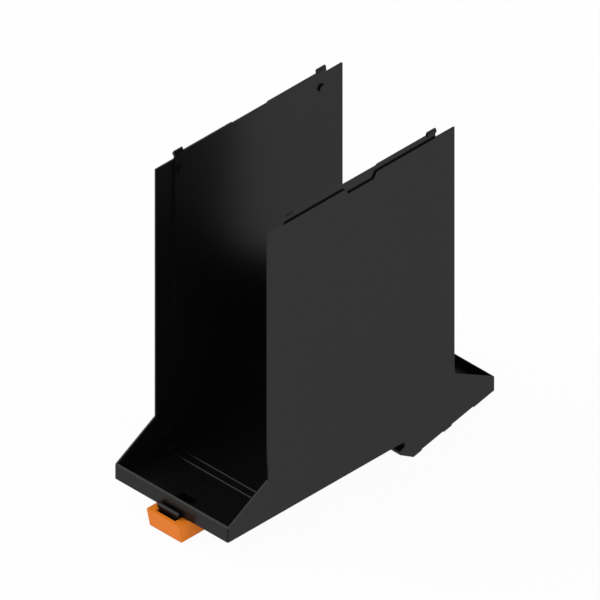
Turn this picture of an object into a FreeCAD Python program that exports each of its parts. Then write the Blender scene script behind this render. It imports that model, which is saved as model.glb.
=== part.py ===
import FreeCAD, Part
import math
import os
import re
import Sketcher

# Base of a rail-mount electronics enclosure: a moulded tray with two tall side walls and a sliding
# foot. X runs along the rail, Y across it from the foot (-Y) to the fixed claw (+Y), Z away from it.
# The origin is on the rail's centre line, at mid-width, in the plane that sits on the rail.

# Driving sizes in millimetres: name, value, what it measures. Places along Y are distances from the
# rail's centre line and heights are above the rail plane, unless the note says otherwise.
SIZES = [
    ("rail_width", 35.0, "top-hat rail, over its flanges"),
    ("rail_flange", 1.0, "thickness of the rail's flange"),
    ("base_width", 45.6, "housing along the rail"),
    ("base_length", 107.4, "housing across the rail"),
    ("skin", 0.55, "outer layer of a side wall"),
    ("liner", 0.6, "inner layer of a side wall"),
    ("floor_wall", 1.15, "floor thickness"),
    ("end_wall", 0.65, "front and back end walls"),
    ("corner_round", 0.5, "upright outer corners of the tray"),
    ("wall_top", 99.4, "top of the outer layer"),
    ("wall_front", 37.6, "front edge of the side walls"),
    ("wall_back", 37.5, "back edge of the side walls"),
    ("front_lip", 4.77, "height of the front end wall"),
    ("front_shoulder", 13.77, "height where the front slant meets the side wall"),
    ("back_lip", 4.65, "height of the back end wall"),
    ("back_shoulder", 13.65, "height where the back slant meets the side wall"),
    ("shoulder_round", 3.0, "hollow round at the back shoulder"),
    ("notch_shift", 0.1, "notch centre, towards the foot"),
    ("notch_top", 12.8, "notch in the outer layer, width at its mouth"),
    ("notch_bottom", 10.3, "notch in the outer layer, width at its bottom"),
    ("notch_depth", 2.0, "notch in the outer layer"),
    ("lip_rise", 1.75, "inner layer above the outer one"),
    ("lip_root", 4.0, "root of the lip and the hooks, below the top of the outer layer"),
    ("lip_front", 30.55, "front end of the lip and the inner layer"),
    ("lip_back", 30.35, "back end of the lip and the inner layer"),
    ("dip_width", 13.8, "low stretch in the middle of the lip"),
    ("dip_depth", 0.33, "low stretch in the middle of the lip"),
    ("liner_foot", 34.45, "front end of the inner layer at the floor"),
    ("liner_step_top", 8.3, "top of the slant in the inner layer's front edge"),
    ("liner_step_low", 6.05, "bottom of the same slant"),
    ("hook_width", 3.4, "snap hooks on the lip"),
    ("hook_rise", 2.9, "top of the snap hooks above the outer layer"),
    ("hook_neck", 1.3, "height of the neck under a hook's head"),
    ("hook_overhang", 0.45, "head of a hook outside its neck"),
    ("hook_catch", 0.36, "rise of the slant under a hook's head"),
    ("hook_lead", 0.3, "slant on the outside of a hook's head"),
    ("hook_lead_height", 0.6, "height of the same slant"),
    ("hook_taper", 0.25, "lean of a hook's inner face above the lip"),
    ("boss_place", 28.45, "round bosses inside the side walls"),
    ("boss_drop", 3.95, "bosses below the top of the outer layer"),
    ("boss_radius", 1.22, "boss"),
    ("boss_rise", 0.6, "boss above the inner layer"),
    ("rib_place", 34.2, "centre of the front cross rib"),
    ("rib_pitch", 2.93, "from the front cross rib to the back one"),
    ("rib_wall", 1.0, "cross rib thickness"),
    ("rib_rise", 0.45, "cross ribs above the floor"),
    ("rib_inset", 0.15, "from the inner layer to the ribs' ends"),
    ("rib_round", 0.43, "top edges of the cross ribs"),
    ("keel_width", 0.6, "low bead along the middle of the floor"),
    ("keel_rise", 0.25, "low bead above the floor"),
    ("keel_round", 0.2, "sides of the low bead"),
    ("window_width", 5.6, "window in the floor"),
    ("window_back", 45.45, "back edge of the window"),
    ("window_margin", 0.4, "from the front end wall to the window"),
    ("tongue_width", 6.4, "springy tongue under the window"),
    ("tongue_wall", 0.9, "sole of the tongue"),
    ("tongue_side", 0.8, "raised sides of the tongue"),
    ("tongue_hollow", 1.5, "depth between the raised sides"),
    ("tongue_gap", 0.3, "between the floor and the tongue"),
    ("tongue_root", 1.6, "stretch where the tongue joins the floor"),
    ("lug_width", 8.2, "lug at the tongue's end"),
    ("lug_wall", 0.9, "lug thickness"),
    ("lug_rise", 1.45, "top of the lug"),
    ("lug_slant", 0.5, "slant on the front of the lug"),
    ("lug_gap", 0.6, "between the lug and the front end wall"),
    ("toe_rise", 0.1, "underside at the back end wall"),
    ("claw_depth", 7.1, "lowest point of the claw and the foot, below the rail plane"),
    ("claw_heel", 21.0, "where the claw's sole meets the slanted underside"),
    ("claw_reach", 2.0, "claw under the rail's flange"),
    ("claw_throat", 0.6, "room under the flange at the claw's root"),
    ("claw_lead", 1.0, "rise of the claw's sloped catch"),
    ("claw_chin", 3.7, "lower corner of the claw's nose, below the rail plane"),
    ("claw_round", 0.5, "rounds of the claw's heel and nose"),
    ("catch_round", 0.25, "round at the tip of the claw's catch"),
    ("recess_start", 24.4, "first shallow recess in the slanted underside"),
    ("recess_length", 8.8, "recess"),
    ("recess_pitch", 12.0, "from one recess to the next"),
    ("recess_depth", 0.4, "recess"),
    ("foot_width", 12.8, "foot along the rail"),
    ("foot_front", 57.3, "front rim of the foot"),
    ("foot_lean", 1.4, "lean of the foot's front face"),
    ("foot_gap", 0.5, "between the floor and the foot"),
    ("foot_wall", 1.5, "sole and inner walls of the foot"),
    ("foot_rim", 1.3, "front wall of the foot at its rim"),
    ("foot_round", 0.4, "outer edges of the foot"),
    ("pocket_width", 7.8, "pocket in the foot"),
    ("nose_reach", 1.7, "nose of the foot under the rail's flange"),
    ("nose_gap", 0.3, "between the flange and the nose"),
    ("nose_back", 0.7, "between the flange's edge and the foot"),
    ("nose_height", 1.4, "upright face of the nose"),
    ("nose_ramp", 4.6, "length of the ramp under the nose"),
    ("ramp_round", 0.75, "bend between the foot's sole and the ramp"),
    ("travel", 3.5, "stroke of the foot"),
    ("stop_gap", 0.2, "left at the end of the stroke"),
    ("slide_gap", 0.3, "running clearance of the guide flanges"),
    ("flange_reach", 2.0, "guide flange beside the foot"),
    ("flange_wall", 2.2, "guide flange thickness"),
    ("guide_wall", 1.2, "guide rails under the floor"),
    ("guide_front", 48.0, "front end of the guide rails"),
    ("guide_back", 33.0, "back end of the guide rails"),
    ("leaf_wall", 0.9, "spring leaf thickness"),
    ("leaf_height", 2.8, "spring leaf"),
    ("leaf_root", 22.0, "back face of the leaf's arm"),
    ("leaf_tip", 31.6, "free end of the leaf"),
    ("leaf_reach", 6.3, "leaf beside the foot"),
    ("leaf_bend", 2.4, "outer radius of the leaf's bend"),
    ("bead_radius", 0.9, "bead at the leaf's free end"),
    ("anvil_width", 4.0, "stop that the leaf presses on"),
]

# Places that several features share, written as formulas of the sizes above.
FRONT = "(-base_length / 2)"
BACK = "(base_length / 2)"
FLANGE_EDGE = "(rail_width / 2)"
INNER_FRONT = f"({FRONT} + end_wall)"
INNER_BACK = f"({BACK} - end_wall)"
SKIN_FACE = "(base_width / 2 - skin)"
LINER_FACE = "(base_width / 2 - skin - liner)"
OPEN_TOP = "(wall_top + lip_rise + hook_rise)"
FOOT_TOP = "(-foot_gap)"
FOOT_SIDE = "(foot_width / 2)"
FLANGE_SIDE = f"({FOOT_SIDE} + flange_reach)"
FLANGE_LOW = f"({FOOT_TOP} - flange_wall)"
GUIDE_INNER = f"({FLANGE_SIDE} + slide_gap)"
GUIDE_OUTER = f"({GUIDE_INNER} + guide_wall)"
GUIDE_SHELF = f"({FLANGE_LOW} - slide_gap)"
GUIDE_LOW = f"({GUIDE_SHELF} - guide_wall)"
STOP_BACK = "(-guide_front + guide_wall)"
FLANGE_FRONT = f"({STOP_BACK} + travel + stop_gap)"
LEAF_SIDE = f"({FOOT_SIDE} + leaf_reach)"
ANVIL_BACK = "(-leaf_tip - travel - stop_gap)"
POCKET_FRONT = "(-foot_front + foot_rim)"
POCKET_BACK = "(-window_back + tongue_root + travel + stop_gap)"

doc = FreeCAD.newDocument("rail_enclosure_base")
sheet = doc.addObject("Spreadsheet::Sheet", "Sizes")
for row, (alias, number, note) in enumerate(SIZES, start=1):
    sheet.set(f"A{row}", alias)
    sheet.set(f"B{row}", str(number))
    sheet.set(f"C{row}", note)
    sheet.setAlias(f"B{row}", alias)
doc.recompute()

ALIASES = {alias for alias, number, note in SIZES}


def bind(formula):
    """The formula with each size's name pointing at its cell in the sheet."""
    return re.sub(r"[a-z_]+", lambda word: f"Sizes.{word[0]}" if word[0] in ALIASES else word[0], formula)


def size(formula):
    """The formula's present value in millimetres."""
    return float(sheet.evalExpression(formula))


def underside(place):
    """Height of the slanted underside behind the rail, at a distance from the rail's centre line."""
    slope = f"((toe_rise + claw_depth) / ({BACK} - claw_heel))"
    return f"(toe_rise - {slope} * ({BACK} - ({place})))"


def new_body(name):
    body = doc.addObject("PartDesign::Body", name)
    body.Label = name
    return body


def origin_feature(body, role):
    return next(item for item in body.Origin.OriginFeatures if item.Role == role)


def new_sketch(body, name, role, offset="0"):
    """A sketch on one of the body's origin planes, moved along that plane's normal."""
    sketch = body.newObject("Sketcher::SketchObject", name)
    sketch.AttachmentSupport = [(origin_feature(body, role), "")]
    sketch.MapMode = "FlatFace"
    sketch.setExpression("AttachmentOffset.Base.z", bind(offset))
    return sketch


def pin_point(sketch, geometry, position, place):
    """Fix a point of the sketch at a pair of formulas, measured from the sketch's origin."""
    for kind, formula in zip(("DistanceX", "DistanceY"), place):
        constraint = Sketcher.Constraint(kind, -1, 1, geometry, position, size(formula))
        index = sketch.addConstraint(constraint)
        sketch.setExpression(f"Constraints[{index}]", bind(formula))


def bend_points(before, corner, after, radius):
    """Where an arc of this radius leaves and rejoins the two lines that meet at a corner."""
    incoming = (corner - before).normalize()
    outgoing = (after - corner).normalize()
    turn = incoming.getAngle(outgoing)
    reach = radius * math.tan(turn / 2)
    start = corner - incoming * reach
    end = corner + outgoing * reach
    inward = (outgoing - incoming).normalize()
    middle = corner + inward * (radius / math.cos(turn / 2) - radius)
    return start, middle, end


def add_outline(sketch, corners):
    """A closed outline. Each corner is (across, up) or (across, up, radius), all formulas."""
    points = [FreeCAD.Vector(size(corner[0]), size(corner[1]), 0) for corner in corners]
    count = len(points)
    leave = list(points)
    arrive = list(points)
    arcs = {}
    for index, corner in enumerate(corners):
        if len(corner) == 3:
            start, middle, end = bend_points(
                points[index - 1], points[index], points[(index + 1) % count], size(corner[2])
            )
            arrive[index] = start
            leave[index] = end
            arcs[index] = Part.Arc(start, middle, end)
    lines = []
    for index in range(count):
        following = (index + 1) % count
        lines.append(sketch.addGeometry(Part.LineSegment(leave[index], arrive[following]), False))
    for index, corner in enumerate(corners):
        line_in = lines[index - 1]
        line_out = lines[index]
        if index not in arcs:
            sketch.addConstraint(Sketcher.Constraint("Coincident", line_in, 2, line_out, 1))
            pin_point(sketch, line_out, 1, corner[:2])
            continue
        arc = sketch.addGeometry(arcs[index], False)
        gaps = [sketch.getPoint(arc, end).distanceToPoint(arrive[index]) for end in (1, 2)]
        first, last = (1, 2) if gaps[0] < gaps[1] else (2, 1)
        sketch.addConstraint(Sketcher.Constraint("Tangent", line_in, 2, arc, first))
        sketch.addConstraint(Sketcher.Constraint("Tangent", arc, last, line_out, 1))
        bend = sketch.addConstraint(Sketcher.Constraint("Radius", arc, size(corner[2])))
        sketch.setExpression(f"Constraints[{bend}]", bind(corner[2]))
        apex = sketch.addGeometry(Part.Point(points[index]), True)
        sketch.addConstraint(Sketcher.Constraint("PointOnObject", apex, 1, line_in))
        sketch.addConstraint(Sketcher.Constraint("PointOnObject", apex, 1, line_out))
        pin_point(sketch, apex, 1, corner[:2])


def add_circle(sketch, across, up, radius):
    """A circle at a pair of formulas."""
    centre = FreeCAD.Vector(size(across), size(up), 0)
    circle = sketch.addGeometry(Part.Circle(centre, FreeCAD.Vector(0, 0, 1), size(radius)), False)
    width = sketch.addConstraint(Sketcher.Constraint("Radius", circle, size(radius)))
    sketch.setExpression(f"Constraints[{width}]", bind(radius))
    pin_point(sketch, circle, 3, (across, up))


def rectangle(left, right, low, high):
    return [(left, low), (right, low), (right, high), (left, high)]


def extrude(body, kind, name, sketch, length, symmetric=False, reverse=False):
    """A Pad or a Pocket of a sketch. It has to add or take away material, whichever it is for."""
    before = body.Shape.Volume if body.Tip and not body.Shape.isNull() else 0.0
    feature = body.newObject(f"PartDesign::{kind}", name)
    feature.Profile = sketch
    feature.setExpression("Length", bind(length))
    if symmetric:
        feature.SideType = "Symmetric"
    feature.Reversed = reverse
    doc.recompute()
    grown = body.Shape.Volume - before
    if (grown if kind == "Pad" else -grown) < 1e-3:
        raise RuntimeError(f"{name} changes nothing")
    return feature


def repeat(body, kind, name, original, **settings):
    """A Mirrored or LinearPattern copy of a feature, which becomes the body's tip."""
    before = body.Shape.Volume
    feature = body.newObject(f"PartDesign::{kind}", name)
    feature.Originals = [original]
    for key, setting in settings.items():
        if key == "Length":
            feature.setExpression("Length", bind(setting))
        else:
            setattr(feature, key, setting)
    body.Tip = feature
    doc.recompute()
    if abs(body.Shape.Volume - before) < 1e-3:
        raise RuntimeError(f"{name} changes nothing")
    return feature


def mirror_across_width(body, name, original):
    plane = origin_feature(body, "YZ_Plane")
    return repeat(body, "Mirrored", name, original, MirrorPlane=(plane, [""]))


def round_edges(body, name, radius, wanted):
    """Round every edge whose two ends and length pass the test."""
    base = body.Tip
    names = []
    for index, edge in enumerate(base.Shape.Edges, start=1):
        ends = [vertex.Point for vertex in edge.Vertexes]
        if len(ends) == 2 and wanted(ends[0], ends[1]):
            names.append(f"Edge{index}")
    if not names:
        raise RuntimeError(f"{name} finds no edge")
    feature = body.newObject("PartDesign::Fillet", name)
    feature.Base = (base, names)
    feature.setExpression("Radius", bind(radius))
    doc.recompute()
    return feature


def near(left, right):
    return abs(left - right) < 1e-4


def outer_outline():
    """Side view of the whole moulding: tray, walls, slanted underside and rail claw."""
    nose = f"({FLANGE_EDGE} - claw_reach)"
    catch = "(-rail_flange - claw_throat)"
    corners = [
        (FRONT, "0"),
        (FRONT, "front_lip"),
        ("-wall_front", "front_shoulder"),
        ("-wall_front", "wall_top"),
        ("-notch_shift - notch_top / 2", "wall_top"),
        ("-notch_shift - notch_bottom / 2", "wall_top - notch_depth"),
        ("-notch_shift + notch_bottom / 2", "wall_top - notch_depth"),
        ("-notch_shift + notch_top / 2", "wall_top"),
        ("wall_back", "wall_top"),
        ("wall_back", "back_shoulder", "shoulder_round"),
        (BACK, "back_lip"),
        (BACK, "toe_rise"),
    ]
    for near_end in ("recess_start + recess_pitch", "recess_start"):
        far_end = f"{near_end} + recess_length"
        corners += [
            (far_end, underside(far_end)),
            (far_end, f"{underside(far_end)} + recess_depth"),
            (near_end, f"{underside(near_end)} + recess_depth"),
            (near_end, underside(near_end)),
        ]
    corners += [
        ("claw_heel", "-claw_depth", "claw_round"),
        (nose, "-claw_chin", "claw_round"),
        (nose, f"{catch} - claw_lead", "catch_round"),
        (FLANGE_EDGE, catch),
        (FLANGE_EDGE, "0"),
    ]
    return corners


def add_side_walls(body):
    """The block of the tray and walls with its lip, hollowed in three bays along the length."""
    outline = new_sketch(body, "side_view", "YZ_Plane")
    add_outline(outline, outer_outline())
    extrude(body, "Pad", "tray_and_walls", outline, "base_width", symmetric=True)

    lip_top = "wall_top + lip_rise"
    lip = new_sketch(body, "lip_view", "YZ_Plane")
    add_outline(lip, [
        ("-lip_front", "wall_top - lip_root"),
        ("-lip_front", lip_top),
        ("-notch_shift - dip_width / 2 - dip_depth", lip_top),
        ("-notch_shift - dip_width / 2", f"{lip_top} - dip_depth"),
        ("-notch_shift + dip_width / 2", f"{lip_top} - dip_depth"),
        ("-notch_shift + dip_width / 2 + dip_depth", lip_top),
        ("lip_back", lip_top),
        ("lip_back", "wall_top - lip_root"),
    ])
    extrude(body, "Pad", "lip", lip, f"2 * {SKIN_FACE}", symmetric=True)

    front_bay = new_sketch(body, "front_bay_view", "YZ_Plane")
    add_outline(front_bay, [
        (INNER_FRONT, "floor_wall"),
        (INNER_FRONT, OPEN_TOP),
        ("-lip_front", OPEN_TOP),
        ("-lip_front", "liner_step_top"),
        ("-liner_foot", "liner_step_low"),
        ("-liner_foot", "floor_wall"),
    ])
    extrude(body, "Pocket", "front_bay", front_bay, f"2 * {SKIN_FACE}", symmetric=True)

    claw_hollow = "claw_heel"
    board_bay = new_sketch(body, "board_bay_view", "YZ_Plane")
    add_outline(board_bay, [
        ("-liner_foot", "floor_wall"),
        ("-liner_foot", "liner_step_low"),
        ("-lip_front", "liner_step_top"),
        ("-lip_front", OPEN_TOP),
        ("lip_back", OPEN_TOP),
        ("lip_back", f"{underside('lip_back')} + floor_wall"),
        (claw_hollow, f"{underside(claw_hollow)} + floor_wall"),
        (f"{FLANGE_EDGE} + floor_wall", "floor_wall"),
    ])
    extrude(body, "Pocket", "board_bay", board_bay, f"2 * {LINER_FACE}", symmetric=True)

    back_bay = new_sketch(body, "back_bay_view", "YZ_Plane")
    add_outline(back_bay, [
        ("lip_back", f"{underside('lip_back')} + floor_wall"),
        ("lip_back", OPEN_TOP),
        (INNER_BACK, OPEN_TOP),
        (INNER_BACK, f"{underside(INNER_BACK)} + floor_wall"),
    ])
    extrude(body, "Pocket", "back_bay", back_bay, f"2 * {SKIN_FACE}", symmetric=True)

    half_width = size("base_width / 2")
    half_length = size(BACK)
    round_edges(body, "upright_corners", "corner_round", lambda start, end: (
        near(abs(start.x), half_width) and near(start.x, end.x)
        and near(abs(start.y), half_length) and near(start.y, end.y)
    ))


def add_hooks(body):
    """Four snap hooks at the ends of the lips, their heads turned outwards."""
    head = f"{SKIN_FACE} + hook_overhang"
    top = "wall_top + hook_rise"
    neck = "wall_top + hook_neck"
    profile = new_sketch(body, "hook_view", "XZ_Plane", "lip_front - hook_width / 2")
    for side in ("", "-"):
        add_outline(profile, [
            (f"{side}({LINER_FACE})", "wall_top - lip_root"),
            (f"{side}({SKIN_FACE})", "wall_top - lip_root"),
            (f"{side}({SKIN_FACE})", neck),
            (f"{side}({head})", f"{neck} + hook_catch"),
            (f"{side}({head})", f"{top} - hook_lead_height"),
            (f"{side}({head} - hook_lead)", top),
            (f"{side}({LINER_FACE} + hook_taper)", top),
            (f"{side}({LINER_FACE})", "wall_top + lip_rise"),
        ])
    hooks = extrude(body, "Pad", "front_hooks", profile, "hook_width", symmetric=True)
    along = origin_feature(body, "Y_Axis")
    repeat(
        body, "LinearPattern", "back_hooks", hooks,
        Direction=(along, [""]), Length="lip_front + lip_back - hook_width", Occurrences=2,
    )


def add_bosses(body):
    """Low round bosses on the inside, near the top of the side walls."""
    discs = new_sketch(body, "boss_view", "YZ_Plane", LINER_FACE)
    for place in ("-boss_place", "boss_place"):
        add_circle(discs, place, "wall_top - boss_drop", "boss_radius")
    bosses = extrude(body, "Pad", "right_bosses", discs, "boss_rise", reverse=True)
    mirror_across_width(body, "left_bosses", bosses)


def add_floor_details(body):
    """Cross ribs with the slot between them, the low middle rib and the window."""
    rib_end = f"({LINER_FACE} - rib_inset)"
    front_face = "(-rib_place - rib_wall / 2)"
    back_face = "(-rib_place + rib_pitch + rib_wall / 2)"
    ribs = new_sketch(body, "cross_rib_plan", "XY_Plane", "floor_wall")
    add_outline(ribs, rectangle(f"-{rib_end}", rib_end, front_face, back_face))
    add_outline(ribs, rectangle(
        f"-{rib_end} + rib_wall", f"{rib_end} - rib_wall",
        f"{front_face} + rib_wall", f"{back_face} - rib_wall",
    ))
    extrude(body, "Pad", "cross_ribs", ribs, "rib_rise")
    rib_top = size("floor_wall + rib_rise")
    round_edges(body, "rib_tops", "rib_round", lambda start, end: (
        near(start.z, rib_top) and near(end.z, rib_top)
    ))

    keel_back = f"({FLANGE_EDGE} + floor_wall)"
    keel_top = "floor_wall + keel_rise"
    keel = new_sketch(body, "keel_view", "XZ_Plane", f"(window_back - {keel_back}) / 2")
    add_outline(keel, [
        ("-keel_width / 2", "floor_wall / 2"),
        ("keel_width / 2", "floor_wall / 2"),
        ("keel_width / 2", keel_top, "keel_round"),
        ("-keel_width / 2", keel_top, "keel_round"),
    ])
    extrude(body, "Pad", "keel", keel, f"window_back + {keel_back}", symmetric=True)

    window = new_sketch(body, "window_plan", "XY_Plane", "floor_wall")
    add_outline(window, rectangle(
        "-window_width / 2", "window_width / 2", f"{INNER_FRONT} + window_margin", "-window_back",
    ))
    extrude(body, "Pocket", "window", window, "2 * floor_wall")


def add_tongue(body):
    """Springy tongue under the window, turned up into a lug in front of the front end wall."""
    lug_back = f"({FRONT} - lug_gap)"
    lug_front = f"({lug_back} - lug_wall)"
    low = "(-tongue_gap - tongue_hollow - tongue_wall)"
    side = new_sketch(body, "tongue_view", "YZ_Plane")
    add_outline(side, [
        ("-window_back + tongue_root", "floor_wall / 2"),
        ("-window_back + tongue_root", low),
        (lug_front, low),
        (lug_front, "lug_rise / 2"),
        (lug_back, "lug_rise / 2"),
        (lug_back, "-tongue_gap"),
        ("-window_back", "-tongue_gap"),
        ("-window_back", "floor_wall / 2"),
    ])
    extrude(body, "Pad", "tongue", side, "tongue_width", symmetric=True)
    hollow = new_sketch(body, "tongue_plan", "XY_Plane", "-tongue_gap")
    half_hollow = "(tongue_width / 2 - tongue_side)"
    add_outline(hollow, rectangle(
        f"-{half_hollow}", half_hollow, f"{INNER_FRONT} + window_margin", "-window_back",
    ))
    extrude(body, "Pocket", "tongue_hollow", hollow, "tongue_hollow")
    lug = new_sketch(body, "lug_view", "YZ_Plane")
    add_outline(lug, [
        (lug_front, "0"),
        (lug_front, "lug_rise - lug_slant"),
        (f"{lug_front} + lug_slant", "lug_rise"),
        (lug_back, "lug_rise"),
        (lug_back, "0"),
    ])
    extrude(body, "Pad", "lug", lug, "lug_width", symmetric=True)


def add_foot_guides(body):
    """L-shaped rails that carry the foot's flanges, their front stops and the springs' anvils."""
    lip_edge = f"({FOOT_SIDE} + slide_gap)"
    rails = new_sketch(body, "guide_view", "XZ_Plane", "(guide_front + guide_back) / 2")
    stops = new_sketch(body, "guide_stop_view", "XZ_Plane", "guide_front - guide_wall / 2")
    anvils = new_sketch(body, "anvil_view", "XZ_Plane", f"-{ANVIL_BACK} + guide_wall / 2")
    for side in ("", "-"):
        add_outline(rails, [
            (f"{side}({GUIDE_INNER})", "floor_wall / 2"),
            (f"{side}({GUIDE_OUTER})", "floor_wall / 2"),
            (f"{side}({GUIDE_OUTER})", GUIDE_LOW),
            (f"{side}({lip_edge})", GUIDE_LOW),
            (f"{side}({lip_edge})", GUIDE_SHELF),
            (f"{side}({GUIDE_INNER})", GUIDE_SHELF),
        ])
        add_outline(stops, rectangle(
            f"{side}({lip_edge})", f"{side}({GUIDE_OUTER})", GUIDE_LOW, "floor_wall / 2",
        ))
        add_outline(anvils, rectangle(
            f"{side}({GUIDE_INNER})", f"{side}({GUIDE_INNER} + guide_wall + anvil_width)",
            GUIDE_LOW, "floor_wall / 2",
        ))
    extrude(body, "Pad", "guide_rails", rails, "guide_front - guide_back", symmetric=True)
    extrude(body, "Pad", "guide_stops", stops, "guide_wall", symmetric=True)
    extrude(body, "Pad", "anvils", anvils, "guide_wall", symmetric=True)


def build_housing():
    body = new_body("housing")
    add_side_walls(body)
    add_hooks(body)
    add_bosses(body)
    add_floor_details(body)
    add_tongue(body)
    add_foot_guides(body)
    return body


def build_rail_foot():
    """The sliding foot: leaning front, open pockets, guide flanges, nose and two spring leaves."""
    body = new_body("rail_foot")
    nose_tip = f"(-{FLANGE_EDGE} + nose_reach)"
    nose_top = "(-rail_flange - nose_gap)"
    behind_flange = f"(-{FLANGE_EDGE} - nose_back)"
    side = new_sketch(body, "foot_side_view", "YZ_Plane")
    add_outline(side, [
        ("-foot_front", FOOT_TOP),
        ("-foot_front + foot_lean", "-claw_depth"),
        (f"{nose_tip} - nose_ramp", "-claw_depth", "ramp_round"),
        (nose_tip, f"{nose_top} - nose_height", "foot_round"),
        (nose_tip, nose_top, "foot_round"),
        (behind_flange, nose_top),
        (behind_flange, FOOT_TOP),
    ])
    extrude(body, "Pad", "foot_block", side, "foot_width", symmetric=True)
    half_width = size(FOOT_SIDE)
    sole = size("-claw_depth")
    round_edges(body, "foot_edges", "foot_round", lambda start, end: (
        (near(abs(start.x), half_width) and near(start.x, end.x)
         and near(start.z, sole) and near(end.z, sole))
        or (near(start.z, sole) and near(end.z, sole) and near(start.y, end.y)
            and start.y < -size("window_back"))
    ))

    flanges = new_sketch(body, "flange_plan", "XY_Plane", FLANGE_LOW)
    add_outline(flanges, rectangle(
        f"-{FLANGE_SIDE}", FLANGE_SIDE, FLANGE_FRONT, "-guide_back",
    ))
    extrude(body, "Pad", "guide_flanges", flanges, "flange_wall")

    pockets = new_sketch(body, "pocket_plan", "XY_Plane", FOOT_TOP)
    half_pocket = "(pocket_width / 2)"
    add_outline(pockets, rectangle(f"-{half_pocket}", half_pocket, POCKET_FRONT, POCKET_BACK))
    add_outline(pockets, rectangle(
        f"-{half_pocket}", half_pocket, f"{POCKET_BACK} + foot_wall",
        f"{behind_flange} - nose_ramp + foot_wall",
    ))
    extrude(body, "Pocket", "pockets", pockets, "claw_depth - foot_gap - foot_wall")

    leaf = new_sketch(body, "leaf_plan", "XY_Plane", "-foot_gap - leaf_height")
    add_outline(leaf, [
        (f"{FOOT_SIDE} - foot_wall / 2", "-leaf_root"),
        (LEAF_SIDE, "-leaf_root", "leaf_bend"),
        (LEAF_SIDE, "-leaf_tip + bead_radius"),
        (f"{LEAF_SIDE} - leaf_wall", "-leaf_tip + bead_radius"),
        (f"{LEAF_SIDE} - leaf_wall", "-leaf_root - leaf_wall", "leaf_bend - leaf_wall"),
        (f"{FOOT_SIDE} - foot_wall / 2", "-leaf_root - leaf_wall"),
    ])
    right_leaf = extrude(body, "Pad", "right_leaf", leaf, "leaf_height")
    mirror_across_width(body, "left_leaf", right_leaf)
    bead = new_sketch(body, "bead_plan", "XY_Plane", "-foot_gap - leaf_height")
    add_circle(bead, f"{LEAF_SIDE} - leaf_wall / 2", "-leaf_tip + bead_radius", "bead_radius")
    right_bead = extrude(body, "Pad", "right_bead", bead, "leaf_height")
    mirror_across_width(body, "left_bead", right_bead)
    return body


bodies = [build_housing(), build_rail_foot()]
doc.recompute()

for item in doc.Objects:
    if "Invalid" in item.State or "Error" in item.State:
        raise RuntimeError(f"{item.Name} failed: {item.State}")
os.makedirs("parts", exist_ok=True)
for body in bodies:
    shape = body.Shape
    if shape.isNull() or not shape.isValid() or len(shape.Solids) != 1:
        raise RuntimeError(f"{body.Label} is not one valid solid")
    shape.exportStep(f"parts/{body.Label}.step")
    box = shape.BoundBox
    print(f"{body.Label}: {shape.Volume:.1f} mm3, x {box.XMin:.2f} to {box.XMax:.2f},"
          f" y {box.YMin:.2f} to {box.YMax:.2f}, z {box.ZMin:.2f} to {box.ZMax:.2f}")
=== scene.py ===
import math

import bmesh
import bpy
from bpy.props import FloatProperty, FloatVectorProperty, PointerProperty
from mathutils import Matrix, Vector


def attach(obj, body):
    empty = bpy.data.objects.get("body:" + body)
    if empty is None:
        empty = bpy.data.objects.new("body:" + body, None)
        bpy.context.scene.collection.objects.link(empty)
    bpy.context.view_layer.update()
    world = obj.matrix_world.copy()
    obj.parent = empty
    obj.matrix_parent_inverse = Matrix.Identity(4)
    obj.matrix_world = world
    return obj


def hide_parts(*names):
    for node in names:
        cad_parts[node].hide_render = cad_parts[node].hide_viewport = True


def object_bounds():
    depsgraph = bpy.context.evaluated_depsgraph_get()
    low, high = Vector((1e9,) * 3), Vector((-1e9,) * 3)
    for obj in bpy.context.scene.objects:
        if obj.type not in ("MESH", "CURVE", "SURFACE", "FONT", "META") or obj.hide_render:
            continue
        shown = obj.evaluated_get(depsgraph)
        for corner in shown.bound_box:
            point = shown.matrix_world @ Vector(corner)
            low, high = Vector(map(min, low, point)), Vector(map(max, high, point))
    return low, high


bl_info = {
    "name": "Rail Enclosure Base",
    "version": (1, 0, 0),
    "blender": (4, 5, 0),
    "location": "3D View > Sidebar > Enclosure",
    "description": "Finishes the enclosure base and its rail foot, and sets up the studio",
    "category": "Object",
}

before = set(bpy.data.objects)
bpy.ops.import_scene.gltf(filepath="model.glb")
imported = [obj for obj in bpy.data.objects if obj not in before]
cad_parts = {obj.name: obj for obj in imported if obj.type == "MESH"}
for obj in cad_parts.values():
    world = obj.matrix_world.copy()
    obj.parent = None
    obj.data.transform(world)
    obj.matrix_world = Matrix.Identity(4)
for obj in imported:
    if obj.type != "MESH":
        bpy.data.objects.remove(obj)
CAD_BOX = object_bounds()
MILLIMETRE = 0.001

# Folds above CREASE are edges, and those below are facets of a curve. Faces that meet at less than
# FLAT are one face, and corners within WELD of each other are one corner.
CREASE = math.radians(34.0)
FLAT = math.radians(0.5)
WELD = 0.002 * MILLIMETRE
EDGE_SEGMENTS = 3

# How the plastics vary: the size of the slow drift, its share in the tone beside the fine grain,
# how far the tone goes either way, and what drift and grain each change in the roughness.
DRIFT_SIZE = 18.0 * MILLIMETRE
DRIFT_SHARE = 0.7
TONE_RANGE = 0.08
ROUGHNESS_DRIFT = 0.06
ROUGHNESS_GRAIN = 0.1

# Layer Weight's Facing at which the gloss starts to fade, and how fast it fades from there.
FADE_START = 0.5
FADE_RATE = 3.0

# Sockets of the Mix node that are chosen by their place: its two colours, and the colour it gives.
COLOUR_A, COLOUR_B, COLOUR_RESULT = 6, 7, 2

# Share of plain white in the floor that the camera sees. The rest is lit paper, which has the shadow.
FLOOR_WHITE = 0.96
WHITE = (1.0, 1.0, 1.0, 1.0)
CAMERA_DISTANCE = 0.6
CAMERA_CLIP = (0.01, 20.0)


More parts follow.
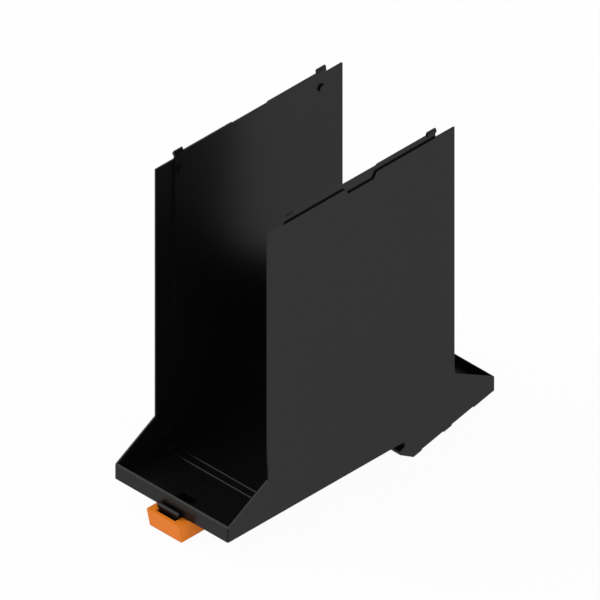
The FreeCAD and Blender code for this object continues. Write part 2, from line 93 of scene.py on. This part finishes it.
class HousingFinish(bpy.types.PropertyGroup):
    """How the black moulding of walls, tray and claw looks."""

    edge_round: FloatProperty(
        name="Edge round", description="Width of the rounding along the moulded edges",
        default=0.05 * MILLIMETRE, min=0.0, precision=5, subtype="DISTANCE", unit="LENGTH",
    )
    colour: FloatVectorProperty(
        name="Colour", description="Colour of the plastic",
        default=(0.0042, 0.0042, 0.0042), min=0.0, max=1.0, subtype="COLOR",
    )
    roughness: FloatProperty(
        name="Roughness", description="Mean roughness of the satin surface",
        default=0.24, min=0.0, max=1.0, subtype="FACTOR",
    )
    gloss: FloatProperty(
        name="Gloss", description="Strength of the reflection, 0.5 for a plain plastic",
        default=0.172, min=0.0, max=1.0, subtype="FACTOR",
    )
    grain: FloatProperty(
        name="Grain", description="Size of the fine grain that the mould leaves",
        default=0.22 * MILLIMETRE, min=0.0, precision=5, subtype="DISTANCE", unit="LENGTH",
    )
    grain_depth: FloatProperty(
        name="Grain depth", description="Height of the fine grain",
        default=0.004 * MILLIMETRE, min=0.0, precision=6, subtype="DISTANCE", unit="LENGTH",
    )


class FootFinish(bpy.types.PropertyGroup):
    """How the orange sliding foot looks."""

    edge_round: FloatProperty(
        name="Edge round", description="Width of the rounding along the moulded edges",
        default=0.14 * MILLIMETRE, min=0.0, precision=5, subtype="DISTANCE", unit="LENGTH",
    )
    colour: FloatVectorProperty(
        name="Colour", description="Colour of the plastic",
        default=(0.89, 0.232, 0.017), min=0.0, max=1.0, subtype="COLOR",
    )
    roughness: FloatProperty(
        name="Roughness", description="Mean roughness of the satin surface",
        default=0.42, min=0.0, max=1.0, subtype="FACTOR",
    )
    gloss: FloatProperty(
        name="Gloss", description="Strength of the reflection, 0.5 for a plain plastic",
        default=0.12, min=0.0, max=1.0, subtype="FACTOR",
    )
    grain: FloatProperty(
        name="Grain", description="Size of the fine grain that the mould leaves",
        default=0.2 * MILLIMETRE, min=0.0, precision=5, subtype="DISTANCE", unit="LENGTH",
    )
    grain_depth: FloatProperty(
        name="Grain depth", description="Height of the fine grain",
        default=0.004 * MILLIMETRE, min=0.0, precision=6, subtype="DISTANCE", unit="LENGTH",
    )


class StudioSettings(bpy.types.PropertyGroup):
    """Camera, sky, lamps and floor."""

    azimuth: FloatProperty(
        name="Azimuth", description="Turn of the camera, 0 looks along +Y",
        default=math.radians(45.0), subtype="ANGLE", unit="ROTATION",
    )
    elevation: FloatProperty(
        name="Elevation", description="Height of the camera above the horizon",
        default=math.radians(35.0), subtype="ANGLE", unit="ROTATION",
    )
    view_width: FloatProperty(
        name="View width", description="Width of the parallel view",
        default=0.17063, min=0.01, precision=4, subtype="DISTANCE", unit="LENGTH",
    )
    aim: FloatVectorProperty(
        name="Aim", description="Point in the middle of the picture",
        default=(-0.000953, -0.000953, 0.046587), precision=4, subtype="TRANSLATION", unit="LENGTH",
    )
    sky: FloatProperty(
        name="Sky", description="Even light from all round, 1 is white",
        default=0.35, min=0.0, max=2.0,
    )
    key_power: FloatProperty(
        name="Key lamp", description="Power of the high lamp at the front left",
        default=10.0, min=0.0, unit="POWER",
    )
    key_width: FloatProperty(
        name="Key width", description="Width of the key lamp",
        default=1.2, min=0.01, subtype="DISTANCE", unit="LENGTH",
    )
    key_place: FloatVectorProperty(
        name="Key place", description="Middle of the key lamp",
        default=(-0.72, -0.48, 0.84), subtype="TRANSLATION", unit="LENGTH",
    )
    fill_power: FloatProperty(
        name="Fill lamp", description="Power of the low lamp on the right",
        default=6.5, min=0.0, unit="POWER",
    )
    fill_width: FloatProperty(
        name="Fill width", description="Width of the fill lamp",
        default=1.0, min=0.01, subtype="DISTANCE", unit="LENGTH",
    )
    fill_place: FloatVectorProperty(
        name="Fill place", description="Middle of the fill lamp",
        default=(0.94, -0.25, 0.13), subtype="TRANSLATION", unit="LENGTH",
    )
    floor_size: FloatProperty(
        name="Floor", description="Width of the floor",
        default=6.0, min=0.5, subtype="DISTANCE", unit="LENGTH",
    )
    floor_colour: FloatVectorProperty(
        name="Floor colour", description="Colour of the floor",
        default=(0.97, 0.97, 0.97), min=0.0, max=1.0, subtype="COLOR",
    )


class Socket:
    """An output of a shader node. Arithmetic on it adds Math nodes."""

    def __init__(self, graph, output):
        self.graph = graph
        self.output = output

    def _math(self, operation, *terms):
        return self.graph.node("ShaderNodeMath", {"operation": operation}, dict(enumerate(terms)))

    def __add__(self, other):
        return self._math("ADD", self, other)

    def __sub__(self, other):
        return self._math("SUBTRACT", self, other)

    def __rsub__(self, other):
        return self._math("SUBTRACT", other, self)

    def __mul__(self, other):
        return self._math("MULTIPLY", self, other)

    __radd__ = __add__
    __rmul__ = __mul__


class Graph:
    """A material's or a world's node tree, emptied."""

    def __init__(self, owner):
        owner.use_nodes = True
        self.tree = owner.node_tree
        self.tree.nodes.clear()

    def node(self, kind, settings=None, sockets=None, output=0):
        """Add a node: its settings first, then a value or a link for each socket named."""
        added = self.tree.nodes.new(kind)
        for name, setting in (settings or {}).items():
            setattr(added, name, setting)
        for name, term in (sockets or {}).items():
            if isinstance(term, Socket):
                self.tree.links.new(term.output, added.inputs[name])
            else:
                added.inputs[name].default_value = term
        return Socket(self, added.outputs[output]) if len(added.outputs) else added


def moulded_plastic(name, finish):
    """Satin plastic with a fine grain, a slow drift, and gloss that fades on faces seen edge-on."""
    material = bpy.data.materials.new(name)
    graph = Graph(material)
    place = graph.node("ShaderNodeTexCoord", output="Object")
    fine = graph.node("ShaderNodeTexNoise", {"noise_dimensions": "3D"}, {
        "Vector": place, "Scale": 1.0 / finish.grain, "Detail": 3.0, "Roughness": 0.6,
    })
    slow = graph.node("ShaderNodeTexNoise", {"noise_dimensions": "3D"}, {
        "Vector": place, "Scale": 1.0 / DRIFT_SIZE, "Detail": 2.0, "Roughness": 0.5,
    })
    deep, pale = (
        (*(change * part for part in finish.colour), 1.0)
        for change in (1 - TONE_RANGE, 1 + TONE_RANGE)
    )
    tone = graph.node("ShaderNodeMix", {"data_type": "RGBA"}, {
        "Factor": slow * DRIFT_SHARE + fine * (1 - DRIFT_SHARE), COLOUR_A: deep, COLOUR_B: pale,
    }, output=COLOUR_RESULT)
    roughness = finish.roughness + (slow - 0.5) * ROUGHNESS_DRIFT + (fine - 0.5) * ROUGHNESS_GRAIN
    grain = graph.node("ShaderNodeBump", None, {
        "Height": fine, "Strength": 1.0, "Distance": finish.grain_depth,
    })
    glossy, dull = (
        graph.node("ShaderNodeBsdfPrincipled", None, {
            "Base Color": tone, "Roughness": roughness, "Normal": grain,
            "Specular IOR Level": level, "IOR": 1.5,
        })
        for level in (finish.gloss, 0.0)
    )
    edge_on = graph.node("ShaderNodeLayerWeight", None, {"Blend": 0.5}, output="Facing")
    fading = graph.node("ShaderNodeMath", {"operation": "MULTIPLY", "use_clamp": True}, {
        0: edge_on - FADE_START, 1: FADE_RATE,
    })
    surface = graph.node("ShaderNodeMixShader", None, {0: fading, 1: glossy, 2: dull})
    graph.node("ShaderNodeOutputMaterial", None, {"Surface": surface})
    return material


def ends_inner_face(edge):
    """Whether an edge ends a face that looks towards the middle, at the front or at the back."""
    sideways, lengthways = 0.9, 0.5
    middle = (edge.verts[0].co + edge.verts[1].co) / 2
    inward = any(face.normal.x * middle.x < -sideways * abs(middle.x) for face in edge.link_faces)
    return inward and any(abs(face.normal.y) > lengthways for face in edge.link_faces)


def apply_modifiers(piece):
    """Give the piece the mesh that its modifiers make, and take them off."""
    depsgraph = bpy.context.evaluated_depsgraph_get()
    made = bpy.data.meshes.new_from_object(piece.evaluated_get(depsgraph))
    piece.modifiers.clear()
    bare = piece.data
    piece.data = made
    bpy.data.meshes.remove(bare)


def shade_flats(mesh):
    """Turn each corner's normal to the largest faces there, of those that fold gently to its own."""
    around = [[] for vertex in mesh.vertices]
    for polygon in mesh.polygons:
        polygon.use_smooth = True
        for vertex in polygon.vertices:
            around[vertex].append((polygon.normal.copy(), polygon.area))
    gentle = math.cos(CREASE)
    corners = [Vector()] * len(mesh.loops)
    for polygon in mesh.polygons:
        own = polygon.normal
        for corner, vertex in zip(polygon.loop_indices, polygon.vertices):
            near = (area * normal for normal, area in around[vertex] if own.dot(normal) > gentle)
            corners[corner] = sum(near, Vector()).normalized()
    mesh.normals_split_custom_set(corners)


def dress(node, name, body, finish):
    """A copy of a CAD node with softly rounded edges and its plastic."""
    shell = bmesh.new()
    shell.from_mesh(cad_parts[node].data)
    bmesh.ops.remove_doubles(shell, verts=shell.verts, dist=WELD)
    bmesh.ops.dissolve_limit(shell, angle_limit=FLAT, verts=shell.verts, edges=shell.edges)
    rounded = shell.edges.layers.float.new("bevel_weight_edge")
    for edge in shell.edges:
        if edge.is_convex and edge.calc_face_angle() > CREASE and not ends_inner_face(edge):
            edge[rounded] = 1.0
    mesh = bpy.data.meshes.new(name)
    shell.to_mesh(mesh)
    shell.free()
    piece = bpy.data.objects.new(name, mesh)
    bpy.context.scene.collection.objects.link(piece)

    soften = piece.modifiers.new("edges", "BEVEL")
    soften.limit_method = "WEIGHT"
    soften.width = finish.edge_round
    soften.segments = EDGE_SEGMENTS
    soften.use_clamp_overlap = False
    soften.miter_outer = "MITER_SHARP"
    apply_modifiers(piece)
    shade_flats(piece.data)
    piece.data.name = name
    piece.data.materials.clear()
    piece.data.materials.append(moulded_plastic(f"{name}_plastic", finish))
    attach(piece, body)
    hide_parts(node)
    return piece


class ENCLOSURE_OT_finish_housing(bpy.types.Operator):
    """Round the housing's edges and give it its black plastic"""

    bl_idname = "enclosure.finish_housing"
    bl_label = "Finish Housing"

    def execute(self, context):
        housing = dress("housing", "base_housing", "base", context.scene.enclosure_housing)
        return {"FINISHED"}


class ENCLOSURE_OT_finish_foot(bpy.types.Operator):
    """Round the rail foot's edges and give it its orange plastic"""

    bl_idname = "enclosure.finish_foot"
    bl_label = "Finish Rail Foot"

    def execute(self, context):
        foot = dress("rail_foot", "sliding_foot", "foot", context.scene.enclosure_foot)
        return {"FINISHED"}


def shown_white(graph):
    """1 for rays that show the background itself, straight, mirrored or through glass."""
    kinds = [
        graph.node("ShaderNodeLightPath", output=f"Is {kind} Ray")
        for kind in ("Camera", "Glossy", "Transmission")
    ]
    return graph.node("ShaderNodeMath", {"operation": "ADD", "use_clamp": True}, {
        0: kinds[0] + kinds[1], 1: kinds[2],
    })


def add_lamp(name, power, width, place, aim):
    """A square area lamp at a place, turned to the aim."""
    lamp = bpy.data.lights.new(name, "AREA")
    lamp.energy = power
    lamp.size = width
    holder = bpy.data.objects.new(name, lamp)
    bpy.context.scene.collection.objects.link(holder)
    holder.location = place
    holder.rotation_euler = (Vector(place) - Vector(aim)).to_track_quat("Z", "Y").to_euler()


class ENCLOSURE_OT_set_studio(bpy.types.Operator):
    """Set the floor, the lamps, the sky and the camera"""

    bl_idname = "enclosure.set_studio"
    bl_label = "Set Studio"

    def execute(self, context):
        studio = context.scene.enclosure_studio
        self.add_floor(studio)
        self.add_sky(context.scene, studio)
        add_lamp("key_lamp", studio.key_power, studio.key_width, studio.key_place, studio.aim)
        add_lamp("fill_lamp", studio.fill_power, studio.fill_width, studio.fill_place, studio.aim)
        self.add_camera(context.scene, studio)
        context.scene.view_settings.view_transform = "Standard"
        return {"FINISHED"}

    def add_floor(self, studio):
        """A pale floor that keeps the shadow, and is see-through from below."""
        half = studio.floor_size / 2
        level = CAD_BOX[0].z
        mesh = bpy.data.meshes.new("studio_floor")
        corners = [(-half, -half, level), (half, -half, level), (half, half, level), (-half, half, level)]
        mesh.from_pydata(corners, [], [(0, 1, 2, 3)])
        floor = bpy.data.objects.new("studio_floor", mesh)
        bpy.context.scene.collection.objects.link(floor)
        material = bpy.data.materials.new("floor_paper")
        graph = Graph(material)
        paper = graph.node("ShaderNodeBsdfDiffuse", None, {"Color": (*studio.floor_colour, 1.0)})
        white = graph.node("ShaderNodeEmission", None, {"Color": WHITE, "Strength": 1.0})
        shown = graph.node("ShaderNodeMixShader", None, {
            0: shown_white(graph) * FLOOR_WHITE, 1: paper, 2: white,
        })
        from_below = graph.node("ShaderNodeNewGeometry", output="Backfacing")
        clear = graph.node("ShaderNodeBsdfTransparent")
        one_sided = graph.node("ShaderNodeMixShader", None, {0: from_below, 1: shown, 2: clear})
        graph.node("ShaderNodeOutputMaterial", None, {"Surface": one_sided})
        mesh.materials.append(material)

    def add_sky(self, scene, studio):
        """Even light from all round, which shows itself as white."""
        world = bpy.data.worlds.new("studio_sky")
        scene.world = world
        graph = Graph(world)
        even = graph.node("ShaderNodeBackground", None, {"Color": WHITE, "Strength": studio.sky})
        white = graph.node("ShaderNodeBackground", None, {"Color": WHITE, "Strength": 1.0})
        shown = graph.node("ShaderNodeMixShader", None, {0: shown_white(graph), 1: even, 2: white})
        graph.node("ShaderNodeOutputWorld", None, {"Surface": shown})

    def add_camera(self, scene, studio):
        """A parallel view of the aim, turned and raised by the studio's angles."""
        lens = bpy.data.cameras.new("camera")
        lens.type = "ORTHO"
        lens.ortho_scale = studio.view_width
        lens.clip_start, lens.clip_end = CAMERA_CLIP
        holder = bpy.data.objects.new("camera", lens)
        scene.collection.objects.link(holder)
        back = Matrix.Rotation(studio.azimuth, 3, "Z") @ Vector(
            (0.0, -math.cos(studio.elevation), math.sin(studio.elevation)))
        holder.location = Vector(studio.aim) + CAMERA_DISTANCE * back
        holder.rotation_euler = back.to_track_quat("Z", "Y").to_euler()
        scene.camera = holder


class ENCLOSURE_PT_panel(bpy.types.Panel):
    """The steps, in the order in which they run."""

    bl_label = "Rail Enclosure Base"
    bl_space_type = "VIEW_3D"
    bl_region_type = "UI"
    bl_category = "Enclosure"

    def draw(self, context):
        for step in STEPS:
            self.layout.operator(step.bl_idname)


STEPS = (ENCLOSURE_OT_finish_housing, ENCLOSURE_OT_finish_foot, ENCLOSURE_OT_set_studio)
SETTINGS = {
    "enclosure_housing": HousingFinish,
    "enclosure_foot": FootFinish,
    "enclosure_studio": StudioSettings,
}


def register():
    for kind in (*SETTINGS.values(), *STEPS, ENCLOSURE_PT_panel):
        bpy.utils.register_class(kind)
    for name, kind in SETTINGS.items():
        setattr(bpy.types.Scene, name, PointerProperty(type=kind))


def unregister():
    for name in SETTINGS:
        delattr(bpy.types.Scene, name)
    for kind in (ENCLOSURE_PT_panel, *STEPS, *SETTINGS.values()):
        bpy.utils.unregister_class(kind)


def main():
    register()
    bpy.ops.enclosure.finish_housing()
    bpy.ops.enclosure.finish_foot()
    bpy.ops.enclosure.set_studio()


if __name__ == "__main__":
    main()
